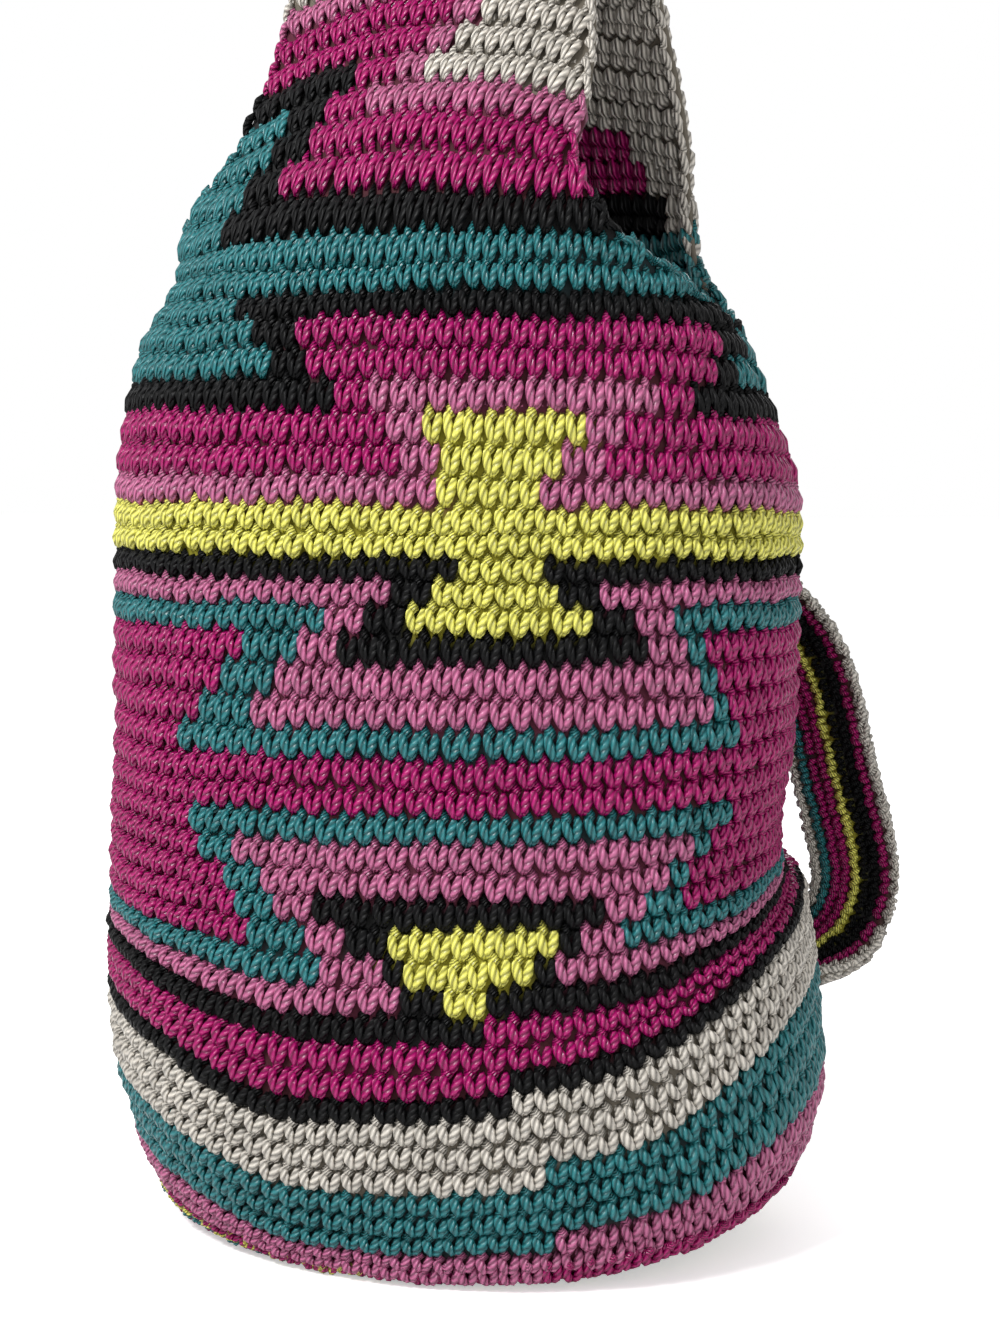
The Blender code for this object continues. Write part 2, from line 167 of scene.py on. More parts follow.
def surface(row, stitch):
    """Points of the fabric's face, for arrays of rows and stitches."""
    r = np.clip((np.asarray(row, float) - REST_ROW) / ROW_STEP, 0, len(TABLE_ROWS) - 1.001)
    s = np.asarray(stitch, float) / STITCH_STEP % len(TABLE_STITCHES)
    r0, s0 = r.astype(int), s.astype(int) % len(TABLE_STITCHES)
    s1 = (s0 + 1) % len(TABLE_STITCHES)
    fr, fs = (r - r0)[..., None], (s - np.floor(s))[..., None]
    low = TABLE[r0, s0] * (1 - fs) + TABLE[r0, s1] * fs
    high = TABLE[r0 + 1, s0] * (1 - fs) + TABLE[r0 + 1, s1] * fs
    return low * (1 - fr) + high * fr


def unit(vectors):
    return vectors / np.maximum(np.linalg.norm(vectors, axis=-1, keepdims=True), 1e-9)


def surface_frame(row, stitch):
    """Point, across, up, outward, stitch width and row height at each place."""
    across = surface(row, stitch + 0.5) - surface(row, stitch - 0.5)
    top = np.minimum(row + 0.5, LAST_ROW + 1)
    bottom = np.maximum(row - 0.5, REST_ROW)
    up = (surface(top, stitch) - surface(bottom, stitch)) / (top - bottom)[..., None]
    outward = unit(np.cross(across, up))
    width, height = np.linalg.norm(across, axis=-1), np.linalg.norm(up, axis=-1)
    return surface(row, stitch), unit(across), np.cross(outward, unit(across)), outward, width, height


# %% The side openings
def opened(row, fork_row, rows):
    part = np.clip((row - fork_row) / rows, 0.0, 1.0)
    return np.sin(math.pi / 2 * part) ** OPENING_CURVE


def rims(row):
    """Stitches of the four rims: front left, front right, back right, back left."""
    taper = np.clip((row - PANEL_ROW) / (LAST_ROW - PANEL_ROW), 0.0, 1.0)
    half = PANEL_HALF_WIDTH + (HANDLE_TOP_HALF_WIDTH - PANEL_HALF_WIDTH) * taper
    back = PANEL_CENTRE + STITCHES / 2
    right = opened(row, RIGHT_FORK_ROW, RIGHT_OPENING_ROWS)
    left = opened(row, LEFT_FORK_ROW, LEFT_OPENING_ROWS)
    front_left = LEFT_FORK_STITCH + FORK_HALF_WIDTH
    front_right = RIGHT_FORK_STITCH - FORK_HALF_WIDTH
    back_right = RIGHT_FORK_STITCH + FORK_HALF_WIDTH
    back_left = LEFT_FORK_STITCH + STITCHES - FORK_HALF_WIDTH
    return (
        front_left + (PANEL_CENTRE - half - front_left) * left,
        front_right + (PANEL_CENTRE + half - front_right) * right,
        back_right + (back - half - back_right) * right,
        back_left + (back + half - back_left) * left,
    )


def on_fabric(row, stitch, margin):
    """Whether each place is on the fabric and not in a side opening."""
    front_left, front_right, back_right, back_left = rims(row)
    round_stitch = np.where(stitch < front_left, stitch + STITCHES, stitch)
    front = (stitch >= front_left + margin) & (stitch <= front_right - margin)
    back = (round_stitch >= back_right + margin) & (round_stitch <= back_left - margin)
    right_fork = (row < RIGHT_FORK_ROW) & (round_stitch > front_right - 1) & (round_stitch < back_right + 1)
    left_fork = (row < LEFT_FORK_ROW) & (round_stitch > back_left - 1)
    left_fork |= (row < LEFT_FORK_ROW) & (stitch < front_left + 1)
    return front | back | right_fork | left_fork


# %% [markdown]
# ## The pattern
# The bag is worked with six yarns. BANDS gives the plain rows, and each entry of MOTIF is a stepped
# field: it has a left and a right edge that move by the same number of stitches in every row. The
# rounds climb like a screw thread, so in the low stripes the right half is one row behind.

# %% The pattern as bands and stepped fields
YARNS = {
    "white": (0.56, 0.52, 0.46),
    "pink": (0.45, 0.115, 0.24),
    "magenta": (0.345, 0.002, 0.115),
    "teal": (0.018, 0.165, 0.180),
    "yellow": (0.72, 0.69, 0.13),
    "black": (0.003, 0.003, 0.0035),
}

# yarn, first row, last row
BANDS = (
    ("magenta", -20, 0),
    ("pink", 1, 2),
    ("teal", 3, 5),
    ("white", 6, 8),
    ("black", 9, 9),
    ("magenta", 10, 11),
    ("black", 12, 12),
    ("pink", 13, 13),
    ("teal", 14, 14),
    ("magenta", 15, 25),
    ("teal", 26, 26),
    ("pink", 27, 27),
    ("black", 28, 28),
    ("yellow", 29, 30),
    ("pink", 31, 31),
    ("magenta", 32, 33),
    ("black", 34, 34),
    ("teal", 35, 43),
    ("black", 44, 44),
    ("magenta", 45, 46),
    ("pink", 47, 47),
    ("white", 48, 60),
)

BASE_YARNS = ("magenta", "yellow", "teal", "magenta")

# yarn, first row, last row, left edge in the first row, its step, right edge, its step
MOTIF = (
    ("teal", 15, 19, -10.6, -1.05, 9.0, 1.05),
    ("pink", 14, 18, -7.3, -1.10, 5.2, 1.40),
    ("black", 13, 16, -3.4, -1.35, 2.6, 1.20),
    ("yellow", 13, 15, -1.7, -1.25, 0.7, 1.55),
    ("teal", 22, 25, -15.5, 1.30, 13.5, -0.67),
    ("pink", 23, 26, -12.0, 1.35, 11.2, -0.77),
    ("black", 25, 27, -7.0, 1.25, 7.7, -0.80),
    ("yellow", 26, 28, -3.6, 1.20, 4.9, -0.95),
    ("yellow", 31, 33, -1.8, -0.55, 2.7, 1.35),
    ("pink", 32, 32, -4.3, 0.0, -2.3, 0.0),
    ("pink", 32, 32, 4.0, 0.0, 6.0, 0.0),
    ("pink", 33, 33, -4.9, 0.0, -2.9, 0.0),
    ("pink", 33, 33, 5.4, 0.0, 7.6, 0.0),
    ("magenta", 34, 36, -7.8, -1.20, 11.5, 2.05),
    ("pink", 34, 34, -5.6, 0.0, 9.4, 0.0),
    ("black", 35, 37, -11.1, -1.50, 16.3, 3.05),
    ("magenta", 35, 36, -9.0, -1.20, 13.7, 1.90),
    ("black", 40, 44, -17.3, 1.05, 30.0, 0.0),
    ("magenta", 41, 46, -13.1, 1.00, 30.0, 0.0),
    ("magenta", 44, 46, -9.8, -9.0, 30.0, 0.0),
    ("pink", 43, 47, -8.5, 1.20, 30.0, 0.0),
    ("white", 44, 47, -5.1, 1.40, 30.0, 0.0),
)


# the back panel's yarns go by rows of their own, and its white field steps in from its right rim
BACK_FIRST_ROW, BACK_TEAL_ROW, BACK_BLACK_ROW, BACK_WHITE_ROW = 38, 40, 41, 44
BACK_WHITE_START, BACK_WHITE_STEP = 39.5, 1.3

# the low stripes step by one row where the rounds meet, a little further right in each lower row
SPIRAL_STEP_ROW, SPIRAL_MIDDLE_ROW, SPIRAL_SLANT = 15, 10, 0.25


def yarn_at(row, stitch):
    """The yarn of one stitch. The motif is on the front, and again on the back."""
    side = (stitch + STITCHES / 4) % (STITCHES / 2) - STITCHES / 4
    from_back = abs((stitch - PANEL_CENTRE) % STITCHES - STITCHES / 2)
    if row >= BACK_FIRST_ROW and from_back < STITCHES / 4:
        back_right = float(rims(np.array(float(row)))[2])
        white_edge = back_right + BACK_WHITE_STEP * (row - BACK_WHITE_START)
        if row >= BACK_WHITE_ROW or stitch % STITCHES < white_edge:
            return "white"
        return "teal" if row <= BACK_TEAL_ROW else "black" if row == BACK_BLACK_ROW else "magenta"
    step_at = max(0.0, SPIRAL_SLANT * (SPIRAL_MIDDLE_ROW - row))
    band_row = row - 1 if row <= SPIRAL_STEP_ROW and side > step_at else row
    yarn = next(name for name, first, last in BANDS if first <= band_row <= last)
    for name, first, last, left, left_step, right, right_step in MOTIF:
        up = row - first
        if first <= row <= last and left + up * left_step <= side < right + up * right_step:
            yarn = name
    return yarn


print("middle of each row:", [yarn_at(row, 0.5) for row in range(1, 48, 6)])

# %% [markdown]
# ## Where each stitch sits
# A stitch needs a point, three directions, a size and a yarn. `lay` collects them in one list.

# %% Lay the stitches of the wall
rng = np.random.default_rng(7)
STAGGER = 0.3
STITCH_DEPTH = 0.0075
FLOOR_LIFT = 0.0026
HAND_WAVER, WAVER_TURNS = 0.0004, (0.327, 0.808)
CLEAR_OF_RIM, CLEAR_OF_TOP = 0.45, 0.55
LOWEST_STITCH, TALLEST_STITCH = 0.005, 0.016
FOOT_ROW, FOOT_TALLEST = 3, 0.0112
INSIDE_FIRST_ROW = 27
CLIMB_LAST_ROW, CLIMB_FADE_ROWS = 40, 4
stitches = {"outside": [], "inside": [], "strap": []}


def lay(group, yarn, point, across, up, outward, width, height, depth=STITCH_DEPTH):
    stitches[group].append((yarn, point, across, up, outward, width, height, depth))


def climb(row):
    """How much of the screw thread a row follows: all of it, except in the panels."""
    return np.clip((CLIMB_LAST_ROW - row) / CLIMB_FADE_ROWS, 0.0, 1.0)


def lay_row(row, inside):
    """One row of stitches on the outside or the inside of the wall, with a hand's slight waver."""
    stitch = np.arange(-STITCHES / 2, STITCHES / 2) + (row * STAGGER) % 1.0
    at = row - climb(row) * stitch / STITCHES
    keep = on_fabric(at, stitch, CLEAR_OF_RIM) & (at < LAST_ROW + CLEAR_OF_TOP)
    point, across, up, outward, width, height = surface_frame(at[keep], stitch[keep])
    along = stitch[keep] - STITCHES * row
    wave = sum(np.sin(turns * along) for turns in WAVER_TURNS)
    point = point + up * (HAND_WAVER * wave)[:, None]
    if inside:
        point, across, outward = point - outward * WALL, -across, -outward
    group = "inside" if inside else "outside"
    tallest = FOOT_TALLEST if row <= FOOT_ROW else TALLEST_STITCH
    for i, s in enumerate(stitch[keep]):
        tall = min(max(height[i], LOWEST_STITCH), tallest)
        lay(group, yarn_at(row, s), point[i], across[i], up[i], outward[i], width[i], tall)


for row in range(1, LAST_ROW + 1):
    lay_row(row, False)
for row in range(INSIDE_FIRST_ROW, LAST_ROW + 1):
    lay_row(row, True)
print("stitches of the wall:", {group: len(laid) for group, laid in stitches.items()})


# %% The rounds of the base
BASE_PITCH = 0.0072
BASE_ROUND, BASE_TALLEST = 0.0086, 0.0105
PATCH_ROUNDS, PATCH_TALL = 9, 0.0088


def lengths_along(points):
    """The way from the first point of a line to each of its points."""
    return np.concatenate([[0.0], np.cumsum(np.linalg.norm(np.diff(points, axis=0), axis=1))])


def lay_foot():
    """Rounds of equal height down the curve of the foot."""
    rows = np.linspace(0.5, REST_ROW, 61)
    circle = np.linspace(0, STITCHES, 60, endpoint=False)
    curve = np.array([surface(np.full(60, row), circle) for row in rows])
    steps = np.linalg.norm(np.diff(curve, axis=0), axis=2).max(axis=1)
    length = np.concatenate([[0.0], np.cumsum(steps)])
    rounds = round(length[-1] / BASE_ROUND)
    for number in range(rounds):
        places = [(number + k) / rounds * length[-1] for k in (0.0, 0.5, 1.0)]
        top, row, low = np.interp(places, length, rows)
        yarn = BASE_YARNS[min(number, len(BASE_YARNS) - 1)]
        points = surface(np.full(200, row), np.linspace(0, STITCHES, 200))
        count = round(lengths_along(points)[-1] / BASE_PITCH)
        stitch = (np.arange(count) - (number * STAGGER) % 1.0) * STITCHES / count
        half = STITCHES / count / 2
        at = np.full(count, row)
        point, across = surface(at, stitch), surface(at, stitch + half) - surface(at, stitch - half)
        up = surface(np.full(count, top), stitch) - surface(np.full(count, low), stitch)
        outward = unit(np.cross(across, up))
        point[:, 2] += np.clip(FLOOR_LIFT - point[:, 2], 0, None)
        for i in range(count):
            wide, tall = np.linalg.norm(across[i]), min(np.linalg.norm(up[i]), BASE_TALLEST)
            sideways = across[i] / wide
            upward = np.cross(outward[i], sideways)
            lay("outside", yarn, point[i], sideways, upward, outward[i], wide, tall)


def lay_patch():
    """Rounds on the flat patch that the bag rests on."""
    edge = surface(np.full(361, float(REST_ROW)), np.linspace(0, STITCHES, 361))
    middle = edge[:-1].mean(axis=0)
    total = lengths_along(edge)[-1]
    outward = np.array([0.0, 0.0, -1.0])
    for number in range(PATCH_ROUNDS):
        scale = 1 - (number + 0.5) / (PATCH_ROUNDS + 0.2)
        count = max(6, round(total * scale / BASE_PITCH))
        stitch = (np.arange(count) + (number * STAGGER) % 1.0) * STITCHES / count
        for rim in surface(np.full(count, float(REST_ROW)), stitch):
            up = unit(rim - middle)
            point = middle + (rim - middle) * scale + np.array([0, 0, FLOOR_LIFT])
            across, wide = np.cross(up, outward), total * scale / count
            lay("outside", "magenta", point, across, up, outward, wide, PATCH_TALL)


lay_foot()
lay_patch()
print("with the base:", len(stitches["outside"]), "outside")


# %% The fold of the handle over the shoulder
FOLD_ROWS = (("outside", 5, 0.0), ("inside", 2, WALL))


def panel_edge(first, last, count):
    """Points along the top row of a panel, between two stitches."""
    stitch = first + (np.arange(count) + 0.5) / count * (last - first)
    return surface(np.full(count, LAST_ROW + 0.5), stitch)


def lay_fold():
    """Rows over the top, in a half circle from the front panel to the back panel."""
    front_left, front_right, back_right, back_left = rims(np.array(LAST_ROW + 0.5))
    count = round(float(front_right - front_left))
    front = panel_edge(front_left, front_right, count)
    back = panel_edge(back_left, back_right, count)
    wide = float(np.linalg.norm(front[-1] - front[0])) / (count - 1)
    for group, rows, inward in FOLD_ROWS:
        for row in range(rows):
            angle = math.pi * (row + 0.5) / rows
            for i in range(count):
                middle, half = (front[i] + back[i]) / 2, (front[i] - back[i]) / 2
                radius = float(np.linalg.norm(half)) - inward
                flat, high = unit(half), np.array([0.0, 0.0, 1.0])
                outward = flat * math.cos(angle) + high * math.sin(angle)
                up = high * math.cos(angle) - flat * math.sin(angle)
                across = np.cross(up, outward)
                point = middle + outward * radius
                if inward:
                    outward, across = -outward, -across
                lay(group, "white", point, across, up, outward, wide, math.pi * radius / rows)


lay_fold()


# %% The edging along the rims
RIM_FIRST_ROWS = (LEFT_FORK_ROW, RIGHT_FORK_ROW, RIGHT_FORK_ROW, LEFT_FORK_ROW)
RIM_PITCH, RIM_OVERLAP, RIM_SINK = 0.0078, 1.25, 0.0008
RIM_WIDE, RIM_DEPTH = 0.0080, 0.0055


def rim_frames(rim, first_row):
    """Places up one rim: point in the middle of the edge, along, through the fabric, and sideways."""
    row = np.arange(first_row, LAST_ROW + 0.6, 0.5)
    stitch = rims(row)[rim]
    point, across, up, outward, width, height = surface_frame(row, stitch)
    sign = 1 if rim in (1, 3) else -1
    point = point - outward * WALL / 2
    along = unit(np.gradient(point, axis=0))
    sideways = unit(across * sign - along * np.sum(across * sign * along, axis=1, keepdims=True))
    return row, stitch, point, along, sideways


def lay_rims():
    for rim, first_row in enumerate(RIM_FIRST_ROWS):
        row, stitch, *lines = rim_frames(rim, first_row)
        length = lengths_along(lines[0])
        count = round(length[-1] / RIM_PITCH)
        tall = length[-1] / count * RIM_OVERLAP
        for at in (np.arange(count) + 0.5) / count * length[-1]:
            place = [np.array([np.interp(at, length, line[:, k]) for k in range(3)]) for line in lines]
            here, run, side = place[0], unit(place[1]), unit(place[2])
            yarn = yarn_at(int(np.interp(at, length, row) + 0.5), np.interp(at, length, stitch))
            point, across = here - side * RIM_SINK, np.cross(run, side)
            lay("outside", yarn, point, across, run, side, RIM_WIDE, tall, RIM_DEPTH)


lay_rims()
print("with base, fold and edging:", len(stitches["outside"]), "outside")

# %% [markdown]
# ## The sling strap
# The strap's middle line is given on the bag's own surface: stitch, row, swing off the fabric, how far
# its flat side turns away from the fabric and how far it tilts down.

# %% Route of the strap
STRAP_WIDTH, STRAP_THICKNESS, STRAP_SWING, STRAP_UPRIGHT = 0.035, 0.007, 0.030, 0.35
STRAP_CLEARANCE, STRAP_PLACES, STRAP_SMOOTHING = 0.0008, 27, 3

# stitch, row, swing, turn, tilt
STRAP_STOPS = (
    (42.0, 35.0, 0.02, 0, 0),
    (38.5, 31.5, 0.1, 0, 0),
    (34.0, 27.2, 0.55, 12, 0),
    (29.8, 22.7, 0.9, 36, 0),
    (28.0, 18.0, 0.92, 52, 0),
    (27.4, 13.5, 1.05, 62, 0),
    (27.2, 8.2, 1.02, 65, 10),
    (27.1, 6.3, 0.9, 65, 30),
    (27.0, 5.0, 0.45, 65, 60),
    (27.0, 4.7, -0.055, 65, 80),
)
STRAP_YARNS = ("white", "teal", "magenta", "magenta", "yellow", "black", "black", "magenta", "white")


def strap_route(steps):
    """Middle line of the strap with its tangent, its flat side's direction and its width's."""
    lying = STRAP_CLEARANCE + STRAP_THICKNESS / 2
    centres, facings = [], []
    for stitch, row, swing, turn, tilt in STRAP_STOPS:
        point, across, up, outward, width, height = surface_frame(np.array([row]), np.array([stitch]))
        normal = Vector(outward[0])
        normal.z *= STRAP_UPRIGHT
        normal.normalize()
        centres.append(point[0] + np.array(normal) * (lying + swing * STRAP_SWING))
        normal = Matrix.Rotation(math.radians(turn), 3, "Z") @ normal
        tilt = math.radians(tilt)
        facings.append(np.array(normal) * math.cos(tilt) - np.array([0, 0, math.sin(tilt)]))
    centres, facings = np.array(centres), np.array(facings)
    length = lengths_along(centres)
    at = np.linspace(0, length[-1], STRAP_PLACES)
    middle = np.column_stack([smooth_curve(length, centres[:, k], at) for k in range(3)])
    facing = np.column_stack([smooth_curve(length, facings[:, k], at) for k in range(3)])
    for _ in range(STRAP_SMOOTHING):
        middle[1:-1] = (middle[:-2] + 2 * middle[1:-1] + middle[2:]) / 4
        facing[1:-1] = (facing[:-2] + 2 * facing[1:-1] + facing[2:]) / 4
    fine = np.linspace(0, length[-1], steps)
    middle = np.column_stack([np.interp(fine, at, middle[:, k]) for k in range(3)])
    facing = np.column_stack([np.interp(fine, at, facing[:, k]) for k in range(3)])
    tangent = unit(np.gradient(middle, axis=0))
    facing = unit(facing - tangent * np.sum(facing * tangent, axis=1, keepdims=True))
    return middle, tangent, facing, np.cross(tangent, facing), length[-1]


# %% Lay the stitches of the strap
STRAP_PITCH, STRAP_SINK, STRAP_OVERLAP, STRAP_DEPTH = 0.0050, 0.0002, 1.12, 0.0052
BINDING_WIDE, BINDING_SINK, BINDING_OVERLAP, BINDING_DEPTH = 0.0084, 0.0006, 1.8, 0.0036


def lay_strap():
    """Columns of stitches along both faces, and a binding along both edges."""
    count = round(strap_route(3)[4] / STRAP_PITCH)
    middle, tangent, facing, across, _ = strap_route(2 * count + 1)
    column = STRAP_WIDTH / len(STRAP_YARNS)
    places = range(1, 2 * count, 2)
    for number, yarn in enumerate(STRAP_YARNS):
        offset = (number + 0.5) * column - STRAP_WIDTH / 2
        for face in (1, -1):
            for k in places:
                up, outward = across[k], facing[k] * face
                point = middle[k] + up * offset + outward * (STRAP_THICKNESS / 2 - STRAP_SINK)
                size = STRAP_PITCH, column * STRAP_OVERLAP, STRAP_DEPTH
                lay("strap", yarn, point, np.cross(up, outward), up, outward, *size)
    for side in (-1, 1):
        for k in places:
            up, outward = tangent[k], across[k] * side
            point = middle[k] + outward * (STRAP_WIDTH / 2 - BINDING_SINK)
            size = BINDING_WIDE, STRAP_PITCH * BINDING_OVERLAP, BINDING_DEPTH
            lay("strap", "white", point, np.cross(up, outward), up, outward, *size)


lay_strap()
print("stitches of the strap:", len(stitches["strap"]))

# %% [markdown]
# ## One stitch
# A stitch is two fat strands that lean together at the foot, like a V, and a small nub that peeps up
# between the feet of the row above. It is modelled in units: 1 across is the stitch's width and 1 up
# is the row's height.


# %% Helpers for meshes and objects
def mesh_data(mesh, name):
    """Mesh data from a bmesh, with its faces turned outwards."""
    bmesh.ops.recalc_face_normals(mesh, faces=mesh.faces)
    data = bpy.data.meshes.new(name)
    mesh.to_mesh(data)
    mesh.free()
    return data


def add_object(name, data):
    piece = bpy.data.objects.new(name, data)
    bpy.context.scene.collection.objects.link(piece)
    return piece


# %% Build a stitch
STRAND_FLATNESS, NUB_FLATNESS, NUB_SIDES = 0.95, 0.9, 4


def add_strand(mesh, uv, path, radii, sides, flat):
    """A closed tube along a path, with the length and the way round as UV."""
    path = [Vector(p) for p in path]
    rings = []
    for i, point in enumerate(path):
        ahead = path[min(i + 1, len(path) - 1)] - path[max(i - 1, 0)]
        ahead.normalize()
        side = ahead.cross(Vector((0, 0, 1))).normalized()
        out = side.cross(ahead)
        ring = []
        for j in range(sides):
            angle = 2 * math.pi * j / sides
            offset = side * math.cos(angle) + out * math.sin(angle) * flat
            ring.append(mesh.verts.new(point + offset * radii[i]))
        rings.append(ring)
    for i in range(len(path) - 1):
        for j in range(sides):
            k = (j + 1) % sides
            face = mesh.faces.new((rings[i][j], rings[i][k], rings[i + 1][k], rings[i + 1][j]))
            corners = ((i, j), (i, j + 1), (i + 1, j + 1), (i + 1, j))
            for loop, (u, v) in zip(face.loops, corners):
                loop[uv].uv = (u / (len(path) - 1), v / sides)
    mesh.faces.new(list(reversed(rings[0])))
    mesh.faces.new(rings[-1])


def make_stitch(name, sides, legs, nub):
    mesh = bmesh.new()
    uv = mesh.loops.layers.uv.new("UVMap")
    for path, radii in legs:
        add_strand(mesh, uv, path, radii, sides, STRAND_FLATNESS)
    if nub:
        add_strand(mesh, uv, *nub, NUB_SIDES, NUB_FLATNESS)
    data = mesh_data(mesh, name)
    data.shade_smooth()
    print(name, "has", sum(len(p.vertices) - 2 for p in data.polygons), "triangles")
    return bpy.data.objects.new(name, data)


LEFT_PATH = (
    (-0.33, 0.38, -0.42),
    (-0.34, 0.22, -0.10),
    (-0.26, -0.03, 0.0),
    (-0.14, -0.27, -0.06),
    (-0.06, -0.47, -0.30),
)
RIGHT_PATH = (
    (0.31, 0.40, -0.44),
    (0.33, 0.23, -0.12),
    (0.24, -0.02, -0.01),
    (0.12, -0.27, -0.07),
    (0.04, -0.48, -0.32),
)
NUB_ACROSS = STAGGER - 0.5
NUB_PATH = ((NUB_ACROSS, 0.32, -0.32), (NUB_ACROSS, 0.54, -0.18), (NUB_ACROSS, 0.76, -0.25))

# each strand is a path and the radius at each of its points
LEFT_LEG = LEFT_PATH, (0.16, 0.22, 0.24, 0.21, 0.12)
RIGHT_LEG = RIGHT_PATH, (0.16, 0.22, 0.23, 0.21, 0.12)
NUB = NUB_PATH, (0.31, 0.25, 0.08)
SHORT_LEFT = LEFT_PATH[::2], (0.20, 0.29, 0.17)
SHORT_RIGHT = RIGHT_PATH[::2], (0.20, 0.28, 0.17)
BUMP = ((-0.54, 0.10, -0.30), (0.0, 0.24, 0.0), (0.52, 0.06, -0.28)), (0.24, 0.34, 0.24)
UNDER_BUMP = ((-0.50, -0.26, -0.30), (0.06, -0.34, -0.12), (0.48, -0.20, -0.30)), (0.22, 0.31, 0.22)
outer_stitch = make_stitch("outer_stitch", 6, (LEFT_LEG, RIGHT_LEG), NUB)
inner_stitch = make_stitch("inner_stitch", 5, (BUMP, UNDER_BUMP), None)
strap_stitch = make_stitch("strap_stitch", 5, (SHORT_LEFT, SHORT_RIGHT), None)
templates = {"outside": outer_stitch, "inside": inner_stitch, "strap": strap_stitch}


# %% [markdown]
# ## Yarn
# One node group draws the twist of the plies along each strand. Its colour, darkened in the grooves between
# the plies as painted shade, goes to Base Color and its height to a Bump node. The six yarns differ only in
# colour and shine.


# %% The node group of the twist
def new_group(name, kind, inputs, outputs):
    group = bpy.data.node_groups.new(name, kind)
    for socket, socket_type, value in inputs:
        item = group.interface.new_socket(socket, in_out="INPUT", socket_type=socket_type)
        if value is not None:
            item.default_value = value
    for socket, socket_type in outputs:
        group.interface.new_socket(socket, in_out="OUTPUT", socket_type=socket_type)
    return group, group.nodes, group.links


def maths(nodes, links, operation, first, second=None):
    node = nodes.new("ShaderNodeMath")
    node.operation = operation
    for socket, value in zip(node.inputs, (first, second)):
        if isinstance(value, (int, float)):
            socket.default_value = value
        elif value is not None:
            links.new(value, socket)
    return node.outputs[0]


def make_twist_group():
    group, nodes, links = new_group(
        "plied_yarn",
        "ShaderNodeTree",
        (
            ("Colour", "NodeSocketColor", (1, 1, 1, 1)),
            ("Shadow", "NodeSocketFloat", 0.55),
            ("Twist", "NodeSocketFloat", 4.0),
            ("Plies", "NodeSocketFloat", 3.0),
        ),
        (("Colour", "NodeSocketColor"), ("Height", "NodeSocketFloat")),
    )
    given = nodes.new("NodeGroupInput")
    uv = nodes.new("ShaderNodeUVMap")
    uv.uv_map = "UVMap"
    split = nodes.new("ShaderNodeSeparateXYZ")
    links.new(uv.outputs["UV"], split.inputs[0])
    along = maths(nodes, links, "MULTIPLY", split.outputs["X"], given.outputs["Twist"])
    around = maths(nodes, links, "MULTIPLY", split.outputs["Y"], given.outputs["Plies"])
    phase = maths(nodes, links, "MULTIPLY", maths(nodes, links, "ADD", along, around), math.pi)
    height = maths(nodes, links, "ABSOLUTE", maths(nodes, links, "SINE", phase))
    tint = nodes.new("ShaderNodeAttribute")
    tint.attribute_name = "tint"
    # painted shade: the colour is darkened by Shadow in the grooves between the plies
    depth = maths(nodes, links, "SUBTRACT", 1.0, given.outputs["Shadow"])
    crest = maths(nodes, links, "MULTIPLY", height, given.outputs["Shadow"])
    shade = maths(nodes, links, "ADD", depth, crest)
    shade = maths(nodes, links, "MULTIPLY", shade, tint.outputs["Fac"])
    scale = nodes.new("ShaderNodeVectorMath")
    scale.operation = "SCALE"
    links.new(given.outputs["Colour"], scale.inputs[0])
    links.new(shade, scale.inputs["Scale"])
    out = nodes.new("NodeGroupOutput")
    links.new(scale.outputs[0], out.inputs["Colour"])
    links.new(height, out.inputs["Height"])
    return group


twist_group = make_twist_group()


# %% The six yarns
GLOSSY, DULL = (0.35, 0.45), (0.5, 0.15)
PLY_BUMP, PLY_HEIGHT = 0.9, 0.0009


def new_material(name, roughness):
    material = bpy.data.materials.new(name)
    material.use_nodes = True
    nodes, links = material.node_tree.nodes, material.node_tree.links
    shader = nodes["Principled BSDF"]
    shader.inputs["Roughness"].default_value = roughness
    return material, nodes, links, shader


def make_yarn(name, colour, roughness, shine):
    """A plied yarn."""
    material, nodes, links, shader = new_material(name + "_yarn", roughness)
    twist = nodes.new("ShaderNodeGroup")
    twist.node_tree = twist_group
    twist.inputs["Colour"].default_value = (*colour, 1)
    bump = nodes.new("ShaderNodeBump")
    bump.inputs["Strength"].default_value = PLY_BUMP
    bump.inputs["Distance"].default_value = PLY_HEIGHT
    links.new(twist.outputs["Colour"], shader.inputs["Base Color"])
    links.new(twist.outputs["Height"], bump.inputs["Height"])
    links.new(bump.outputs["Normal"], shader.inputs["Normal"])
    material.diffuse_color = (*colour, 1)
    shader.inputs["Specular IOR Level"].default_value = shine
    return material


yarn_materials = {
    name: make_yarn(name, colour, *(DULL if name == "black" else GLOSSY))
    for name, colour in YARNS.items()
}
print("yarns:", list(yarn_materials))


# %% [markdown]
# ## Stitches on points
# Each yarn gets a cloud of points, one for each stitch, that carries the stitch's turn and size. A
# Geometry Nodes tree puts the stitch on every point, with a little wobble, and makes it real.


